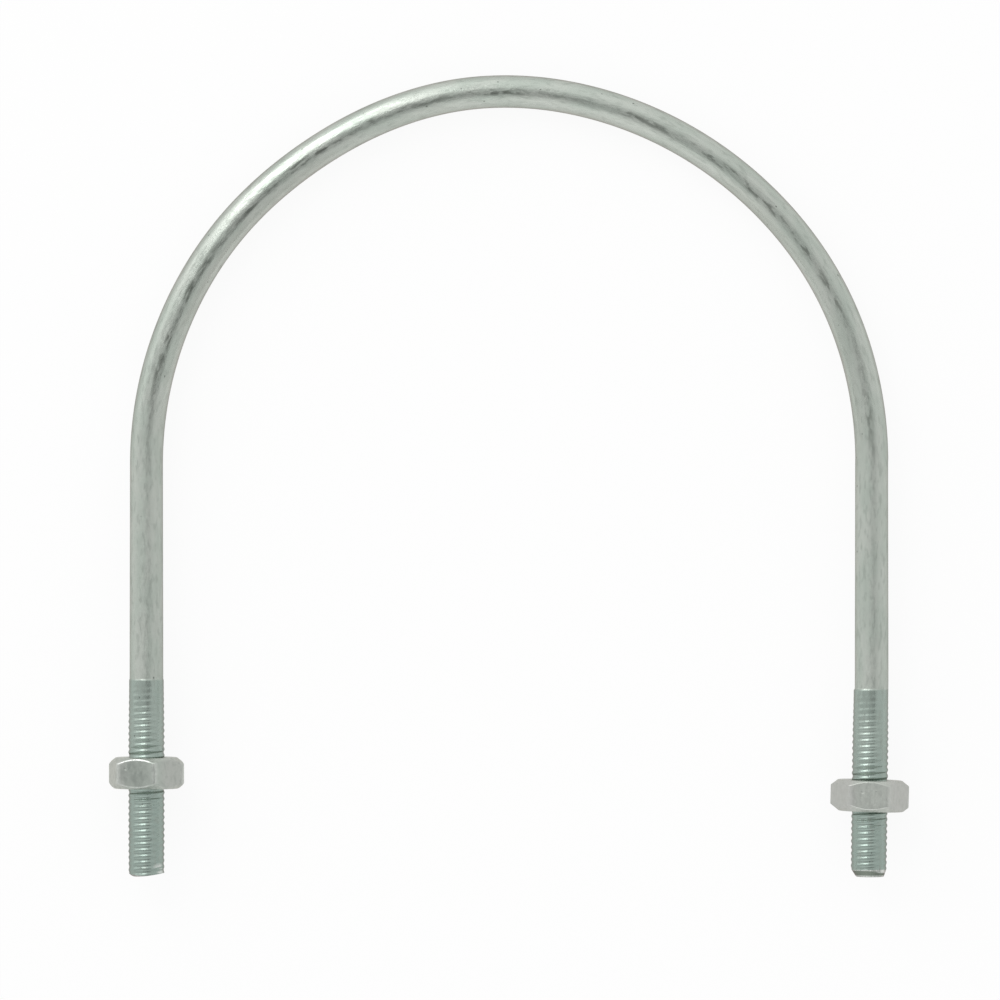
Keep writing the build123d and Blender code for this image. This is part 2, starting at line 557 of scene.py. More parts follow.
@dataclass
class UBolt:
    """The bent and threaded rod, as one skin from one leg's end to the other's."""

    plane: BowPlane
    leg_x: float
    spring_radius: float = 3.34
    crown_rise: float = 1.9
    crown_half_angle: float = 10.4
    inward_radius: float = 3.29  # bending leaves the rod a little oval
    upright_radius: float = 3.35
    oval_growth: float = 0.2  # of each end of the bow, over which the oval grows
    segments: int = 64
    arc_step: float = 1.2
    leg_length: float = 83.5
    form: ThreadForm = ThreadForm()
    unevennesses: tuple[Unevenness, ...] = (
        Unevenness(angle=27.0, width=18.0, outward=0.33),
        Unevenness(angle=102.0, width=11.0, outward=0.20),
        Unevenness(angle=126.0, width=12.0, outward=-0.27),
    )

    def leg(self, side: Side) -> Leg:
        """One of the two legs, with its own thread, lean and end.

        Args:
            side: which leg.

        Returns:
            The leg.
        """
        shared = {
            "side": side,
            "axis_x": side.value * self.leg_x,
            "length": self.leg_length,
            "form": self.form,
            "spring_radius": self.spring_radius,
        }
        if side is Side.LEFT:
            end = LegEnd(flat_radius=2.83, bevel_angle=27.5, offset=1.85, shear_angle=9.0, roll=2.7)
            return Leg(thread_length=40.1, crest_y=-75.54, end=end, **shared)
        end = LegEnd(flat_radius=2.80, bevel_angle=61.0, offset=0.27, level_rim=1.6)
        return Leg(thread_length=38.1, crest_y=-75.96, end=end, bend_angle=-0.76, jog=-0.1, **shared)

    def bow_length(self) -> float:
        """The length of the bow's middle line, near enough for the finish."""
        return math.pi * (self.leg_x + self.crown_rise / 2)

    def arcs(self) -> tuple[Arc, Arc, Arc]:
        """The bow's arcs, from the left spring to the right one: a tighter crown between shoulders.

        Returns:
            The three arcs, all tangent.
        """
        half = math.radians(self.crown_half_angle)
        shoulder_x = self.crown_rise / (1 - math.tan(half / 2))
        shoulder_radius = self.leg_x + shoulder_x
        crown_radius = shoulder_radius - shoulder_x / math.sin(half)
        crown_y = self.leg_x + self.crown_rise - crown_radius
        left, right = 90.0 + self.crown_half_angle, 90.0 - self.crown_half_angle
        return (
            Arc(shoulder_x, 0.0, shoulder_radius, 180.0, left),
            Arc(0.0, crown_y, crown_radius, left, right),
            Arc(-shoulder_x, 0.0, shoulder_radius, right, 0.0),
        )

    def add_bow_ring(self, made: Skin, arc: Arc, angle: float) -> None:
        """Adds one ring of the bow.

        Args:
            made: the skin that gets the ring.
            arc: the arc that the ring is on.
            angle: where on it.
        """
        steps = np.arange(self.segments) * math.tau / self.segments
        out = np.array([math.cos(math.radians(angle)), math.sin(math.radians(angle)), 0.0])
        above = np.array([0.0, 0.0, 1.0])
        reach = arc.radius + sum(bend.at(angle) for bend in self.unevennesses)
        middle = np.array([arc.centre_x, arc.centre_y, 0.0]) + reach * out
        share = 1.0 - angle / 180.0
        oval = float(ease(np.array(min(share, 1.0 - share) / self.oval_growth)))
        across = (self.spring_radius + (self.inward_radius - self.spring_radius) * oval) * np.cos(steps)
        up = (self.spring_radius + (self.upright_radius - self.spring_radius) * oval) * np.sin(steps)
        along = np.full(self.segments, share * self.bow_length())
        points = middle + across[:, None] * out + up[:, None] * above
        made.add(points, np.stack([along, -across, up], axis=-1))

    def build(self) -> bpy.types.Object:
        """Builds the whole U-bolt.

        Returns:
            The piece, in the frame.
        """
        whole = self.leg(Side.LEFT).skin(self.segments)
        for arc in self.arcs():
            rows = round(arc.radius * math.radians(arc.first - arc.last) / self.arc_step)
            for angle in np.linspace(arc.first, arc.last, rows, endpoint=False):
                if angle < 180.0:  # the leg holds the ring at the spring
                    self.add_bow_ring(whole, arc, float(angle))
        right = self.leg(Side.RIGHT).skin(self.segments)
        # down the right leg, the place along the rod goes on from the bow
        right.places = [place * (-1, -1, 1) + (self.bow_length(), 0, 0) for place in right.places]
        whole.extend(right, backwards=True)
        return whole.piece("u_bolt_threaded", self.plane)

    def dress(self, piece: bpy.types.Object, finish: "RodZinc") -> None:
        """Gives the piece its finish and its body, and hides the imported part that it stands in for.

        Args:
            piece: the U-bolt's object.
            finish: the plating.
        """
        piece.data.materials.append(finish.material(self.bow_length()))
        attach(piece, "u_bolt")
        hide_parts("u_bolt")


@dataclass(frozen=True)
class Dent:
    """A small round dent in a nut's side."""

    turn: float
    y: float
    radius: float
    depth: float


@dataclass(frozen=True)
class SectionRow:
    """One row of a nut's section: its point in every column, and how much painted highlight it gets, partly
    wear.
    """

    points: np.ndarray
    edge_highlight: float = 0.0


@dataclass(frozen=True)
class Chamfer:
    """The chamfer at one end of a nut, struck about an axis that may be off the nut's own."""

    face_radius: float  # of the flat that it leaves
    angle: float
    across: float = 0.0  # how far off the nut's axis it is struck, towards +X
    above: float = 0.0  # and upwards

    def face_reach(self, angle: np.ndarray) -> np.ndarray:
        """How far the face runs from the nut's axis.

        Args:
            angle: the direction of each column.

        Returns:
            The distance to the face's rim.
        """
        along = self.across * np.sin(angle) + self.above * np.cos(angle)
        aside = self.across * np.cos(angle) - self.above * np.sin(angle)
        return along + np.sqrt(self.face_radius**2 - aside**2)

    def drop(self, side: np.ndarray, angle: np.ndarray) -> np.ndarray:
        """How far short of the face the nut's side stops.

        Args:
            side: the side's distance from the nut's axis.
            angle: the direction of each column.

        Returns:
            The distance along the nut's axis.
        """
        off_axis = np.hypot(side * np.sin(angle) - self.across, side * np.cos(angle) - self.above)
        return (off_axis - self.face_radius) * math.tan(math.radians(self.angle))


@dataclass
class HexNut:
    """A cold-formed hexagon nut on one leg."""

    plane: BowPlane
    name: str
    leg: Leg
    middle_y: float
    turn: float
    bow_chamfer: Chamfer
    end_chamfer: Chamfer
    skew: float = 0.0
    dents: tuple[Dent, ...] = ()
    highlight_turn: float = 0.0  # of the middle of the stretch of rim that is painted bright: partly wear, partly a painted highlight
    highlight_half: float = 0.0
    highlight_fade: float = 6.0  # degrees, over which the bright stretch ends
    # how bright each rim and the corners are painted: a painted highlight, partly wear
    bow_rim_highlight: float = 1.0
    end_rim_highlight: float = 0.3
    face_rim_highlight: float = 0.3
    highlight_fullness: float = 5.0  # above 4, the painted highlight is at its full over more than an edge's middle
    corner_highlight: float = 0.35
    corner_width: float = 4.0  # degrees, to each side of a corner
    side_margin: float = 0.05  # under the sides, to where the corners' painted highlight reaches
    height: float = 6.3
    across_flats: float = 14.0
    corner_radius: float = 1.1
    mouth_radius: float = 4.05
    mouth_depth: float = 0.2
    groove_radius: float = 3.95  # the nut's own thread clears the rod's by these
    ridge_radius: float = 3.76
    form: ThreadForm = ThreadForm(crest_width=0.30, flank_width=0.40)
    segments: int = 240
    face_round: float = 0.14
    rim_round: float = 0.26
    mouth_round: float = 0.12
    most_rounding: float = 0.45  # of a side of the section, at either of its corners
    round_steps: int = 5
    face_rows: int = 2
    side_rows: int = 20
    row_margin: float = 0.12  # of a side of the section, which is left to the next corner's rounding

    def columns(self) -> np.ndarray:
        """The angles of the skin's columns about the nut, from straight up towards +X."""
        return math.radians(self.turn) + np.arange(self.segments) * math.tau / self.segments

    def off_corner(self, angle: np.ndarray) -> np.ndarray:
        """How far each column is from the nearest corner of the hexagon, in radians."""
        half_sixth = SIXTH_TURN / 2
        return np.abs((angle - math.radians(self.turn) + half_sixth) % SIXTH_TURN - half_sixth)

    def side_radius(self, angle: np.ndarray) -> np.ndarray:
        """The hexagon's reach, with its rounded corners.

        Args:
            angle: the direction of each column.

        Returns:
            The distance from the nut's axis to its side.
        """
        half_sixth = SIXTH_TURN / 2
        off_corner = self.off_corner(angle)
        half_flats = self.across_flats / 2
        corner_centre = (half_flats - self.corner_radius) / math.cos(half_sixth)
        on_corner = half_flats * np.tan(half_sixth - off_corner) > corner_centre * math.sin(half_sixth)
        flat = half_flats / np.cos(half_sixth - off_corner)
        under_root = np.maximum(self.corner_radius**2 - (corner_centre * np.sin(off_corner)) ** 2, 0.0)
        corner = corner_centre * np.cos(off_corner) + np.sqrt(under_root)
        return np.where(on_corner, corner, flat)

    def rounded(
        self, before: np.ndarray, corner: np.ndarray, after: np.ndarray, radius: float, edge_highlight: float
    ) -> list[SectionRow]:
        """Rounds one corner of the section in every column.

        Args:
            before: the section's point before the corner.
            corner: the corner itself.
            after: the point after it.
            radius: how far back from the corner the rounding starts.
            edge_highlight: how much painted highlight its middle gets, partly wear.

        Returns:
            The rounding's rows, in order.
        """
        back = before - corner
        ahead = after - corner
        back_length = np.linalg.norm(back, axis=-1, keepdims=True)
        ahead_length = np.linalg.norm(ahead, axis=-1, keepdims=True)
        start = corner + back / back_length * np.minimum(radius, self.most_rounding * back_length)
        stop = corner + ahead / ahead_length * np.minimum(radius, self.most_rounding * ahead_length)
        rows = []
        for share in np.linspace(0.0, 1.0, self.round_steps + 1):
            rest = 1.0 - share
            points = rest**2 * start + 2 * share * rest * corner + share**2 * stop
            rows.append(SectionRow(points, edge_highlight * min(1.0, self.highlight_fullness * share * rest)))
        return rows

    def outside(self) -> list[SectionRow]:
        """The section of the nut's outside in every column, from the upper mouth to the lower one.

        Returns:
            The section's rows in order.
        """
        angle = self.columns()
        half = np.full(self.segments, self.height / 2)
        mouth = np.full(self.segments, self.mouth_radius)
        side = self.side_radius(angle)
        inner = mouth - self.mouth_depth
        corners = [
            section_point(mouth, half),
            section_point(self.bow_chamfer.face_reach(angle), half),
            section_point(side, half - self.bow_chamfer.drop(side, angle)),
            section_point(side, self.end_chamfer.drop(side, angle) - half),
            section_point(self.end_chamfer.face_reach(angle), -half),
            section_point(mouth, -half),
        ]
        rounds = (self.mouth_round, self.face_round, self.rim_round)
        rounds += rounds[::-1]
        edge_highlights = (0.0, self.face_rim_highlight, self.bow_rim_highlight, self.end_rim_highlight, self.face_rim_highlight, 0.0)
        fills = (self.face_rows, self.face_rows, self.side_rows, self.face_rows, self.face_rows, 0)
        first = section_point(inner, half - self.mouth_depth)
        last = section_point(inner, self.mouth_depth - half)
        befores = (first, *corners)
        afters = (*corners[1:], last)
        section = [SectionRow(first)]
        for before, corner, after, radius, edge_highlight, fill in zip(befores, corners, afters, rounds, edge_highlights, fills):
            section += self.rounded(before, corner, after, radius, edge_highlight)
            start = section[-1].points
            stop = after + (corner - after) * self.row_margin
            section += [SectionRow(start + (stop - start) * (n / fill)) for n in range(1, fill)]
        return [*section, SectionRow(last)]

    def bore(self) -> list[np.ndarray]:
        """The section of the threaded bore in every column, from the lower mouth to the upper one.

        Returns:
            The section's points in order.
        """
        angle = self.columns()
        last = self.height / 2 - self.mouth_depth - self.form.row_step()
        found = []
        for height in np.arange(-last, last, self.form.row_step()):
            y = np.full(self.segments, height)
            crest = self.form.crest_share(y + self.middle_y, angle, self.leg.crest_y)
            threaded = self.ridge_radius + (self.groove_radius - self.ridge_radius) * crest
            countersink = self.mouth_radius - (self.height / 2 - np.abs(y))
            found.append(section_point(np.maximum(threaded, countersink), y))
        return found

    def dented(self, row: np.ndarray) -> np.ndarray:
        """Presses the dents into one row of the outside.

        Args:
            row: the row's section points.

        Returns:
            The row's reach, less the dents' depth.
        """
        reach, y = row[:, 0], row[:, 1]
        for dent in self.dents:
            off = self.columns() - math.radians(dent.turn)
            aside = reach * np.sin(off)
            near = np.exp(-(aside**2 + (y - dent.y) ** 2) / dent.radius**2) * (np.cos(off) > 0)
            reach = reach - dent.depth * near
        return reach

    def build(self) -> bpy.types.Object:
        """Builds the nut about its leg, its outside leaning on its thread by the skew.

        Returns:
            The piece, in the frame.
        """
        angle = self.columns()
        centre_x = self.leg.axis_x + float(self.leg.bend(np.array(self.middle_y)))
        centre = (centre_x, self.middle_y, 0.0)
        lean = math.radians(self.skew)
        leaning = np.array(
            [[math.cos(lean), math.sin(lean), 0.0], [-math.sin(lean), math.cos(lean), 0.0], [0.0, 0.0, 1.0]]
        )
        # painted highlight, partly wear: a stretch of the rims and the corners are painted bright
        off_highlight = np.abs((angle - math.radians(self.highlight_turn) + math.pi) % math.tau - math.pi)
        highlight_here = ease((math.radians(self.highlight_half) - off_highlight) / math.radians(self.highlight_fade))
        off_corner = self.off_corner(angle) / math.radians(self.corner_width)
        highlighted_corner = self.corner_highlight * np.exp(-(off_corner**2))
        side_from = self.side_radius(angle) - self.side_margin
        made = Skin((WEAR_AND_HIGHLIGHT_EDGE,))
        for row in self.outside():
            reach = self.dented(row.points)
            wear_and_highlight = np.maximum(row.edge_highlight * highlight_here, highlighted_corner * (row.points[:, 0] > side_from))
            own = np.stack([reach * np.sin(angle), row.points[:, 1], reach * np.cos(angle)], axis=-1)
            made.add(own @ leaning + centre, own[:, [1, 0, 2]], wear_and_highlight)
        for row in self.bore():
            own = np.stack([row[:, 0] * np.sin(angle), row[:, 1], row[:, 0] * np.cos(angle)], axis=-1)
            made.add(own + centre, own[:, [1, 0, 2]])
        return made.piece(self.name + "_dressed", self.plane, looped=True)

    def dress(self, piece: bpy.types.Object, finish: "NutZinc") -> None:
        """Gives the piece its finish and its body, and hides the imported part that it stands in for.

        Args:
            piece: the nut's object.
            finish: the plating.
        """
        piece.data.materials.append(finish.material())
        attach(piece, self.name)
        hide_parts(self.name)


@dataclass(frozen=True)
class Cloud:
    """A layer of cloudy noise, and how much of something it brings."""

    scale: Point  # how many clouds a millimetre holds along each direction
    detail: float = 3.0  # how many finer layers it has
    thin: float = 0.35  # the noise's level at which it brings the least
    thick: float = 0.65  # and the most
    least: float = 0.0
    most: float = 1.0
    height: float = 0.0  # of its bumps, in millimetres


@dataclass(frozen=True)
class Specks:
    """A scatter of small spots."""

    scale: Point  # how many cells, of one spot each, a millimetre holds along each direction
    size: float  # a spot's reach, as a share of a cell
    most: float
    core: float = 0.4  # of a spot's reach, inside which it is at its most


class NodeBench:
    """Short calls for the nodes of one material or world."""

    def __init__(self, tree: bpy.types.NodeTree) -> None:
        """Takes a node tree and clears it.

        Args:
            tree: the tree to work on.
        """
        self.tree = tree
        tree.nodes.clear()

    def feed(self, socket: Socket, value: object) -> None:
        """Links a socket to another, or sets it to a plain value.

        Args:
            socket: the node's input.
            value: another node's output, or the plain value.
        """
        if isinstance(value, Socket):
            self.tree.links.new(value, socket)
        else:
            socket.default_value = value

    def add(
        self, kind: str, inputs: dict[object, object] | None = None, **settings: object
    ) -> bpy.types.Node:
        """Adds a node.

        Args:
            kind: the node's type.
            inputs: what goes into its sockets, by their name or number.
            **settings: the node's own properties.

        Returns:
            The new node.
        """
        node = self.tree.nodes.new(kind)
        for name, value in settings.items():
            setattr(node, name, value)
        for socket, value in (inputs or {}).items():
            self.feed(node.inputs[socket], value)
        return node

    def place(self) -> Socket:
        """Reads each point's place on its own piece."""
        return self.add("ShaderNodeAttribute", attribute_name=OWN_PLACE).outputs["Vector"]

    def mark(self, name: str) -> Socket:
        """Reads one of the skin's marks."""
        return self.add("ShaderNodeAttribute", attribute_name=name).outputs["Fac"]

    def parts(self, place: Socket) -> bpy.types.bpy_prop_collection:
        """Takes a place apart: along, across or inwards, and up."""
        return self.add("ShaderNodeSeparateXYZ", {0: place}).outputs

    def math(self, operation: str, *values: object) -> Socket:
        """Does a sum on plain numbers or sockets."""
        return self.add("ShaderNodeMath", dict(enumerate(values)), operation=operation).outputs[0]

    def product(self, first: object, *others: object) -> object:
        """Multiplies shares.

        Args:
            first: the first share.
            *others: the rest, at least one.

        Returns:
            The product's socket.
        """
        for other in others:
            first = self.math("MULTIPLY", first, other)
        return first

    def vector(self, operation: str, *values: object) -> bpy.types.Node:
        """Does a sum on places or directions."""
        return self.add("ShaderNodeVectorMath", dict(enumerate(values)), operation=operation)

    def between(
        self, value: object, low: float, high: float, least: float = 0.0, most: float = 1.0
    ) -> Socket:
        """Runs smoothly from one share to another as a value goes from one level to another.

        Args:
            value: the value.
            low: the level for the least share, which may be the higher one.
            high: the level for the most.
            least: the share up to the low level.
            most: the share from the high level on.

        Returns:
            The share.
        """
        inputs = {"Value": value, "From Min": low, "From Max": high, "To Min": least, "To Max": most}
        return self.add("ShaderNodeMapRange", inputs, interpolation_type="SMOOTHSTEP").outputs["Result"]

    def noise(self, place: Socket, cloud: Cloud) -> Socket:
        """A layer's own noise, about 0.5.

        Args:
            place: the place on the piece.
            cloud: the layer.

        Returns:
            The noise's socket.
        """
        stretched = self.vector("MULTIPLY", place, cloud.scale).outputs[0]
        inputs = {"Vector": stretched, "Scale": 1.0, "Detail": cloud.detail}
        return self.add("ShaderNodeTexNoise", inputs).outputs[0]

    def cloudy(self, place: Socket, cloud: Cloud) -> Socket:
        """How much a layer of noise brings.

        Args:
            place: the place on the piece.
            cloud: the layer.

        Returns:
            The share, from the layer's least to its most.
        """
        return self.between(self.noise(place, cloud), cloud.thin, cloud.thick, cloud.least, cloud.most)

    def specks(self, place: Socket, specks: Specks) -> Socket:
        """Scattered small spots.

        Args:
            place: the place on the piece.
            specks: the scatter.

        Returns:
            The spots' share, which is 0 outside them.
        """
        stretched = self.vector("MULTIPLY", place, specks.scale).outputs[0]
        cells = self.add("ShaderNodeTexVoronoi", {"Vector": stretched, "Scale": 1.0})
        core = specks.size * specks.core
        return self.between(cells.outputs["Distance"], specks.size, core, most=specks.most)

    def blend(self, share: object, first: object, second: object) -> Socket:
        """Mixes two colours.

        Args:
            share: 0 for the first colour and 1 for the second.
            first: a colour or its socket.
            second: a colour or its socket.

        Returns:
            The mixed colour.
        """
        inputs = dict(zip(MIX_COLOUR_INPUTS, (share, first, second)))
        return self.add("ShaderNodeMix", inputs, data_type="RGBA").outputs[MIX_COLOUR_OUTPUT]

    def relief(self, place: Socket, layers: tuple[Cloud, ...]) -> Socket:
        """Roughens the surface's normal.

        Args:
            place: the place on the piece.
            layers: the layers of bumps, the broadest first.

        Returns:
            The new normal.
        """
        before = {}
        for layer in layers:
            inputs = {"Height": self.noise(place, layer), "Strength": 1.0, "Distance": layer.height * MM}
            before = {"Normal": self.add("ShaderNodeBump", inputs | before).outputs[0]}
        return before["Normal"]


def new_material(name: str) -> tuple[bpy.types.Material, NodeBench]:
    """Makes a material.

    Args:
        name: its name.

    Returns:
        The material, and the bench for its nodes.
    """
    material = bpy.data.materials.new(name)
    material.use_nodes = True
    return material, NodeBench(material.node_tree)


@dataclass(frozen=True)
class ZincPlate:
    """Zinc electroplate: what the rod's and the nuts' plating share."""

    name: str
    pale: Colour
    tinted: Colour
    dull: Colour
    fleck: Colour
    rim_tint: Colour  # of what it mirrors at a grazing angle
    dulling: Cloud
    flecks: Specks
    tints: Cloud
    grain: Cloud
    marks: Cloud  # of drawing or forming
    matt: Cloud  # its least and most are the plating's roughness
    relief: tuple[Cloud, ...]
    # painted highlight on the marked edges, partly wear; also the colour of the shear's scuffs
    wear_and_highlight: Colour = (0.80, 0.82, 0.79, 1.0)

    def fresh(self, bench: NodeBench, place: Socket) -> Socket:
        """The plating's own colour, in cloudy tints."""
        return bench.blend(bench.cloudy(place, self.tints), self.pale, self.tinted)

    def aged(self, bench: NodeBench, place: Socket, colour: Socket) -> Socket:
        """Dulls a colour in patches, and flecks it.

        Args:
            bench: the material's nodes.
            place: the place on the piece.
            colour: the colour so far.

        Returns:
            The aged colour.
        """
        colour = bench.blend(bench.cloudy(place, self.dulling), colour, self.dull)
        return bench.blend(bench.specks(place, self.flecks), colour, self.fleck)

    def rubbed_and_highlighted(self, bench: NodeBench, place: Socket, colour: Socket) -> Socket:
        """Brightens a colour on the marked edges, a painted highlight that is partly wear, as unevenly as
        the grain is.

        Args:
            bench: the material's nodes.
            place: the place on the piece.
            colour: the colour so far.

        Returns:
            The colour, with its painted highlight and wear.
        """
        share = bench.product(bench.mark(WEAR_AND_HIGHLIGHT_EDGE), bench.cloudy(place, self.grain))
        return bench.blend(share, colour, self.wear_and_highlight)

    def metal(self, bench: NodeBench, place: Socket, colour: Socket, smoother: Socket) -> None:
        """Ends a material in its metal shader.

        Args:
            bench: the material's nodes.
            place: the place on the piece.
            colour: the plating's colour.
            smoother: what to take off its roughness.
        """
        inputs = {
            "Base Color": colour,
            "Metallic": 1.0,
            "Roughness": bench.math("SUBTRACT", bench.cloudy(place, self.matt), smoother),
            "Specular Tint": self.rim_tint,
            "Normal": bench.relief(place, (*self.relief, self.grain, self.marks)),
        }
        shader = bench.add("ShaderNodeBsdfPrincipled", inputs)
        bench.add("ShaderNodeOutputMaterial", {"Surface": shader.outputs[0]})


@dataclass(frozen=True)
class GrimeAndDarkReflection:
    """The broken dark line along the top of the bow, in a faint and broader band: partly grime, partly a
    painted dark reflection.
    """

    off_top: float = 0.25  # of its middle, inwards
    wander: float = 0.6
    wandering: Cloud = Cloud((0.08, 0.0, 0.0))
    line: tuple[float, float] = (1.0, 0.2)  # where it fades out to each side, and where it is full
    band: tuple[float, float] = (1.7, 0.5)
    band_share: float = 0.10
    heights: tuple[float, float] = (1.5, 2.8)  # where it starts on the bow's upper side and is full
    breaks: Cloud = Cloud((0.32, 1.1, 1.1), 5.0, thin=0.46, thick=0.60)
    stretches: Cloud = Cloud((0.05, 0.0, 0.0), thin=0.42, thick=0.58, least=0.35, most=0.80)

    def share(self, bench: NodeBench, place: Socket, on_bow: Socket) -> Socket:
        """Finds the line of grime and painted dark reflection.

        Args:
            bench: the material's nodes.
            place: the place on the rod.
            on_bow: 1 on the bow.

        Returns:
            The line's share.
        """
        _, inwards, up = bench.parts(place)
        noise = bench.noise(place, self.wandering)
        wandered = bench.math("MULTIPLY_ADD", noise, 2 * self.wander, -self.wander - self.off_top)
        off = bench.math("ABSOLUTE", bench.math("ADD", inwards, wandered))
        broken = bench.product(bench.cloudy(place, self.breaks), bench.cloudy(place, self.stretches))
        line = bench.product(bench.between(off, *self.line), broken)
        band = bench.between(off, *self.band, most=self.band_share)
        return bench.product(bench.math("MAXIMUM", line, band), bench.between(up, *self.heights), on_bow)


@dataclass(frozen=True)
class RodZinc(ZincPlate):
    """Bright plating on drawn rod: fine lengthwise marks, cloudy dulling and small dark flecks."""

    tints: Cloud = Cloud((0.10, 0.30, 0.30))
    dulling: Cloud = Cloud((0.45, 1.5, 1.5), 4.0, thin=0.50, thick=0.70, most=0.42)
    flecks: Specks = Specks((0.22, 0.38, 0.38), size=0.07, most=0.8)
    grain: Cloud = Cloud((1.6, 3.2, 3.2), thin=0.35, thick=0.60, least=0.3, most=0.8, height=0.028)
    marks: Cloud = Cloud((0.08, 5.0, 5.0), 2.0, height=0.008)
    matt: Cloud = Cloud((0.5, 1.8, 1.8), 4.0, least=0.34, most=0.50)
    relief: tuple[Cloud, ...] = (
        Cloud((0.10, 0.5, 0.5), 2.0, height=0.07),
        Cloud((0.55, 1.9, 1.9), 4.0, height=0.040),
    )
    bow_gloss: float = 0.13  # off the roughness, on the bow
    thread_gloss: float = 0.21
    gloss_lead: float = 12.0  # down the legs, from where the gloss comes in
    gloss_full: float = 25.0  # along the bow, to where it is full
    thread: Colour = (0.315, 0.388, 0.350, 1.0)
    # how far the thread's roots are darkened: painted shade
    root_shade: float = 0.10
    sheared: Colour = (0.16, 0.18, 0.15, 1.0)
    sheared_share: float = 0.85
    warm: Colour = (0.475, 0.485, 0.442, 1.0)
    warm_side: tuple[float, float] = (0.9, 2.3)  # where the warmth starts, inwards, and is full
    warmth: Cloud = Cloud((0.05, 0.2, 0.2), thin=0.40, thick=0.60, least=0.1, most=0.5)
    # the colour of the grime and painted dark reflection along the top of the bow
    grime_and_dark_reflection_colour: Colour = (0.13, 0.145, 0.125, 1.0)
    grime_and_dark_reflection: GrimeAndDarkReflection = GrimeAndDarkReflection()
    scuff_place: Point = (-82.2, 2.5, 2.2)
    scuff_reach: tuple[float, float] = (1.9, 0.9)  # from its middle, where it ends and is full
    scuffs: Cloud = Cloud((2.2, 0.35, 0.35), 2.0, thin=0.46, thick=0.58, most=0.55)

    def material(self, bow_length: float) -> bpy.types.Material:
        """Makes the rod's material.

        Args:
            bow_length: the length of rod between the legs, where the plating is brightest.

        Returns:
            The material, which reads the skin's own place and marks.
        """
        material, bench = new_material(self.name)
        place = bench.place()
        threaded = bench.mark(THREADED)
        along, inwards, _ = bench.parts(place)
        past_left = bench.between(along, -self.gloss_lead, self.gloss_full)
        past_right = bench.between(along, bow_length + self.gloss_lead, bow_length - self.gloss_full)
        on_bow = bench.product(past_left, past_right)

        colour = bench.blend(threaded, self.fresh(bench, place), self.thread)
        colour = self.aged(bench, place, colour)
        # painted shade in the thread's roots
        root_shade_share = bench.product(bench.mark(THREAD_DEPTH), self.root_shade)
        colour = bench.blend(root_shade_share, colour, self.dull)
        cut = bench.product(bench.mark(SHEARED), self.sheared_share)
        colour = bench.blend(cut, colour, self.sheared)
        # painted highlight on the marked edges, partly wear
        colour = self.rubbed_and_highlighted(bench, place, colour)
        inner = bench.between(inwards, *self.warm_side)
        warmth = bench.product(inner, on_bow, bench.cloudy(place, self.warmth))
        colour = bench.blend(warmth, colour, self.warm)
        # the shear left scuffs beside the left leg's end
        off = bench.vector("DISTANCE", place, self.scuff_place).outputs["Value"]
        scuffed = bench.product(bench.between(off, *self.scuff_reach), bench.cloudy(place, self.scuffs))
        colour = bench.blend(scuffed, colour, self.wear_and_highlight)
        # grime and a painted dark reflection along the top of the bow
        colour = bench.blend(self.grime_and_dark_reflection.share(bench, place, on_bow), colour, self.grime_and_dark_reflection_colour)

        bright_bow = bench.product(on_bow, self.bow_gloss)
        smoother = bench.math("MAXIMUM", bright_bow, bench.product(threaded, self.thread_gloss))
        self.metal(bench, place, colour, smoother)
        return material


@dataclass(frozen=True)
class NutZinc(ZincPlate):
    """Greyer and more matt plating on a cold-formed nut, with faint marks along its axis."""

    tints: Cloud = Cloud((0.25, 0.25, 0.25))
    dulling: Cloud = Cloud((0.7, 1.1, 1.1), 4.0, thin=0.48, thick=0.70, most=0.35)
    flecks: Specks = Specks((0.5, 0.5, 0.5), size=0.08, most=0.6)
    grain: Cloud = Cloud((2.5, 3.0, 3.0), thin=0.30, thick=0.60, least=0.45, height=0.034)
    marks: Cloud = Cloud((0.35, 4.0, 4.0), height=0.01)
    matt: Cloud = Cloud((0.9, 1.6, 1.6), 4.0, least=0.32, most=0.48)
    relief: tuple[Cloud, ...] = (Cloud((0.5, 0.7, 0.7), height=0.06),)
    edge_gloss: float = 0.08  # off the roughness, on the edges that carry the painted highlight
    side_facet_reflection: Colour = (0.475, 0.495, 0.462, 1.0)  # of the flats that face sideways: a painted reflection
    side_facet_across: tuple[float, float] = (2.4, 4.6)  # where it starts, off the middle, and is full
    # a darker patch in the dull colour, left out where its reach is 0
    dark_patch_place: Point = (0.0, 0.0, 0.0)
    dark_patch_reach: float = 0.0
    dark_patch_core: float = 0.3  # of its reach, inside which it is full
    dark_patch: Cloud = Cloud((0.5, 0.9, 0.9), 4.0, least=0.35, most=0.85)

    def material(self) -> bpy.types.Material:
        """Makes the nut's material.

        Returns:
            The material, which reads the skin's own place and marks.
        """
        material, bench = new_material(self.name)
        place = bench.place()
        _, across, _ = bench.parts(place)
        # painted reflection: the flats that face sideways take another tint
        sideways = bench.between(bench.math("ABSOLUTE", across), *self.side_facet_across)
        colour = bench.blend(sideways, self.fresh(bench, place), self.side_facet_reflection)
        colour = self.aged(bench, place, colour)
        # darkens a patch towards the dull colour
        if self.dark_patch_reach > 0.0:
            off = bench.vector("DISTANCE", place, self.dark_patch_place).outputs["Value"]
            near = bench.between(off, self.dark_patch_reach, self.dark_patch_reach * self.dark_patch_core)
            darkened_patch = bench.product(near, bench.cloudy(place, self.dark_patch))
            colour = bench.blend(darkened_patch, colour, self.dull)
        # painted highlight on the marked edges, partly wear
        colour = self.rubbed_and_highlighted(bench, place, colour)
        smoother = bench.product(bench.mark(WEAR_AND_HIGHLIGHT_EDGE), self.edge_gloss)
        self.metal(bench, place, colour, smoother)
        return material


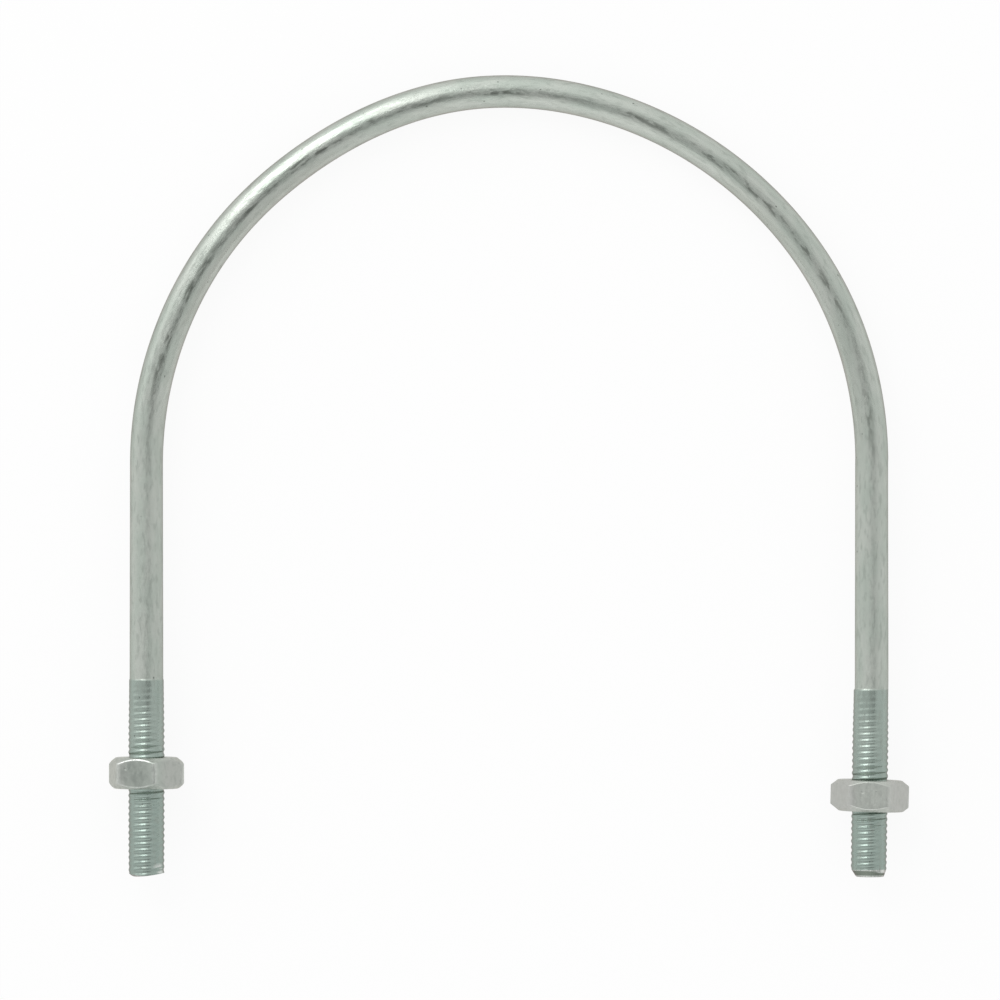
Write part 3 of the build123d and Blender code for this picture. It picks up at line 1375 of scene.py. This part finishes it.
@dataclass(frozen=True)
class SkyPatch:
    """A soft round patch of the studio's dome, lighter or darker than the rest."""

    across: float
    towards_arch: float
    core_angle: float
    fade_angle: float
    change: float

    def direction(self, plane: BowPlane) -> Vector:
        """Where the patch stands, as a unit direction of the frame."""
        height = math.sqrt(max(0.0, 1.0 - self.across**2 - self.towards_arch**2))
        return plane.direction(self.across, self.towards_arch, height)


@dataclass
class Studio:
    """The pale floor, the soft light and the camera."""

    plane: BowPlane
    floor_height: float
    view_centre: Point = (-1.83, -7.32, 0.0)
    view_width: float = 202.3
    camera_distance: float = 1500.0
    sensor_width: float = 36.0
    floor_size: float = 12000.0
    floor_colour: Colour = (0.93, 0.93, 0.93, 1.0)
    shadow_lift: float = 0.9  # how far the floor goes to white where it is seen
    dome_level: float = 0.975
    dome_patches: tuple[SkyPatch, ...] = (
        SkyPatch(0.28, -0.17, 4.0, 18.0, -0.40),  # a card over the lens
        SkyPatch(0.02, -0.28, 6.0, 32.0, -0.20),  # the ceiling
        SkyPatch(-0.25, -0.93, 12.0, 54.0, 0.40),  # the table's side
        SkyPatch(-0.89, 0.42, 6.0, 32.0, 0.60),  # the left wall
        SkyPatch(-0.50, 0.85, 10.0, 36.0, 0.38),  # the key lamp's spill
        SkyPatch(-0.05, 0.95, 10.0, 60.0, 0.42),  # the far wall
        SkyPatch(0.90, 0.15, 15.0, 45.0, 0.13),  # the right wall
        SkyPatch(0.55, 0.80, 5.0, 25.0, -0.10),  # the far right corner
    )
    key_direction: Point = (-0.43, 0.65, 0.60)
    key_distance: float = 1000.0
    key_length: float = 850.0
    key_width: float = 430.0
    key_radiance: float = 1.72

    def add_floor(self) -> None:
        """Lays a wide pale floor under the clamp."""
        half = self.floor_size * MM / 2
        mesh = bpy.data.meshes.new("floor")
        corners = [(-half, -half, 0.0), (half, -half, 0.0), (half, half, 0.0), (-half, half, 0.0)]
        mesh.from_pydata(corners, [], [(0, 1, 2, 3)])
        floor = bpy.data.objects.new("floor", mesh)
        floor.location.z = self.floor_height
        bpy.context.scene.collection.objects.link(floor)
        material, bench = new_material("pale_floor")
        path = bench.add("ShaderNodeLightPath")
        seen = bench.math("MAXIMUM", path.outputs["Is Camera Ray"], path.outputs["Is Glossy Ray"])
        seen = bench.math("MAXIMUM", seen, path.outputs["Is Transmission Ray"])
        lift = bench.product(seen, self.shadow_lift)
        matt = bench.add("ShaderNodeBsdfDiffuse", {"Color": self.floor_colour})
        white = bench.add("ShaderNodeEmission", {"Strength": 1.0})
        lifted = bench.add("ShaderNodeMixShader", {0: lift, 1: matt.outputs[0], 2: white.outputs[0]})
        bench.add("ShaderNodeOutputMaterial", {"Surface": lifted.outputs[0]})
        mesh.materials.append(material)

    def add_dome(self) -> None:
        """Makes the soft light that comes from all round."""
        world = bpy.data.worlds.new("studio_dome")
        bpy.context.scene.world = world
        world.use_nodes = True
        bench = NodeBench(world.node_tree)
        direction = bench.add("ShaderNodeTexCoord").outputs["Generated"]
        level: object = self.dome_level
        for patch in self.dome_patches:
            near = bench.vector("DOT_PRODUCT", direction, tuple(patch.direction(self.plane)))
            fade = math.cos(math.radians(patch.fade_angle))
            core = math.cos(math.radians(patch.core_angle))
            change = bench.between(near.outputs["Value"], fade, core, most=patch.change)
            level = bench.math("ADD", level, change)
        light = bench.add("ShaderNodeBackground", {"Strength": level})
        bench.add("ShaderNodeOutputWorld", {"Surface": light.outputs[0]})

    def add_key(self) -> None:
        """Hangs the large soft lamp over the upper left of the bow."""
        lamp = bpy.data.lights.new("key_softbox", "AREA")
        lamp.shape = "RECTANGLE"
        lamp.size = self.key_width * MM
        lamp.size_y = self.key_length * MM
        lamp.energy = self.key_radiance * math.pi * lamp.size * lamp.size_y
        holder = bpy.data.objects.new("key_softbox", lamp)
        towards = self.plane.direction(*self.key_direction)
        sideways = self.plane.out.cross(towards).normalized()
        turned = Matrix((sideways, towards.cross(sideways), towards)).transposed()
        centre = Vector(self.plane.to_frame(np.array(self.view_centre)))
        place = Matrix.Translation(centre + towards * self.key_distance * MM)
        holder.matrix_world = place @ turned.to_4x4()
        bpy.context.scene.collection.objects.link(holder)

    def add_camera(self) -> None:
        """Sets the long lens square over the plane of the bow."""
        lens = bpy.data.cameras.new("camera")
        lens.sensor_width = self.sensor_width
        lens.lens = self.sensor_width * self.camera_distance / self.view_width
        lens.clip_end = self.floor_size * MM
        camera = bpy.data.objects.new("camera", lens)
        turned = Matrix((self.plane.right, self.plane.arch, self.plane.out)).transposed()
        centre = Vector(self.plane.to_frame(np.array(self.view_centre)))
        place = Matrix.Translation(centre + self.plane.out * self.camera_distance * MM)
        camera.matrix_world = place @ turned.to_4x4()
        bpy.context.scene.collection.objects.link(camera)
        bpy.context.scene.camera = camera

    def set_up(self) -> None:
        """Readies the whole studio."""
        bpy.context.scene.view_settings.view_transform = "Standard"
        self.add_floor()
        self.add_dome()
        self.add_key()
        self.add_camera()


ROD_ZINC = RodZinc(
    name="rod_zinc",
    pale=(0.510, 0.545, 0.500, 1.0),
    tinted=(0.458, 0.508, 0.458, 1.0),
    dull=(0.30, 0.335, 0.30, 1.0),
    fleck=(0.10, 0.11, 0.10, 1.0),
    rim_tint=(0.58, 0.53, 0.52, 1.0),
)
LEFT_NUT_ZINC = NutZinc(
    name="nut_zinc_left",
    pale=(0.465, 0.505, 0.462, 1.0),
    tinted=(0.430, 0.472, 0.428, 1.0),
    dull=(0.285, 0.315, 0.288, 1.0),
    fleck=(0.18, 0.19, 0.18, 1.0),
    rim_tint=(0.88, 0.87, 0.83, 1.0),
    # a darker patch on the side that faces up, left of its middle
    dark_patch_place=(0.0, -2.2, 6.6),
    dark_patch_reach=5.0,
)
RIGHT_NUT_ZINC = NutZinc(
    name="nut_zinc_right",
    pale=(0.520, 0.549, 0.508, 1.0),
    tinted=(0.492, 0.522, 0.482, 1.0),
    dull=(0.42, 0.445, 0.405, 1.0),
    fleck=(0.18, 0.19, 0.18, 1.0),
    rim_tint=(0.80, 0.79, 0.76, 1.0),
    # the painted reflection on the flats that face sideways
    side_facet_reflection=(0.488, 0.497, 0.472, 1.0),
)


def nuts(u_bolt: UBolt) -> tuple[HexNut, HexNut]:
    """The two nuts where they stand, each with its own turn, chamfers, dent and painted highlight, which is
    partly wear.

    Args:
        u_bolt: the U-bolt that they are run onto.

    Returns:
        The left nut and the right one.
    """
    left = HexNut(
        plane=u_bolt.plane,
        name="nut_left",
        leg=u_bolt.leg(Side.LEFT),
        middle_y=-62.5,
        turn=15.0,
        bow_chamfer=Chamfer(face_radius=6.2, angle=38.0, above=0.45),
        end_chamfer=Chamfer(face_radius=6.5, angle=38.0),
        dents=(Dent(turn=-32.5, y=1.05, radius=0.28, depth=0.16),),
        # where the painted highlight runs along the rims, partly wear
        highlight_turn=-20.0,
        highlight_half=30.0,
    )
    right = HexNut(
        plane=u_bolt.plane,
        name="nut_right",
        leg=u_bolt.leg(Side.RIGHT),
        middle_y=-67.1,
        turn=26.0,
        bow_chamfer=Chamfer(face_radius=6.5, angle=38.0, above=0.2),
        end_chamfer=Chamfer(face_radius=6.5, angle=38.0, across=0.3, above=-0.2),
        skew=-1.5,
        rim_round=0.12,
        # where the painted highlight runs along the rims, partly wear
        highlight_turn=-4.0,
        highlight_half=30.0,
        bow_rim_highlight=0.1,
        end_rim_highlight=0.7,
        corner_highlight=0.1,
        dents=(Dent(turn=-15.0, y=0.95, radius=0.28, depth=0.16),),
    )
    return left, right


def report(piece: bpy.types.Object) -> None:
    """Logs a piece's name, faces and size."""
    sides = (side / MM for side in piece.dimensions)
    log.info("%s: %d faces, %.1f x %.1f x %.1f mm", piece.name, len(piece.data.polygons), *sides)


def main() -> None:
    """Builds and dresses the clamp's pieces in order, then the studio."""
    logging.basicConfig(level=logging.INFO, format="%(name)s: %(message)s")
    mounts = {mount["name"]: mount for mount in frame["record"]["mounts"]}
    plane = BowPlane.from_mounts(mounts)
    u_bolt = UBolt(plane=plane, leg_x=mounts["leg_pattern"]["dims"]["pcd_mm"] / 2)
    rod = u_bolt.build()
    u_bolt.dress(rod, ROD_ZINC)
    report(rod)

    for nut, finish in zip(nuts(u_bolt), (LEFT_NUT_ZINC, RIGHT_NUT_ZINC)):
        piece = nut.build()
        nut.dress(piece, finish)
        report(piece)

    Studio(plane=plane, floor_height=cad_box[0].z).set_up()


if __name__ == "__main__":
    main()
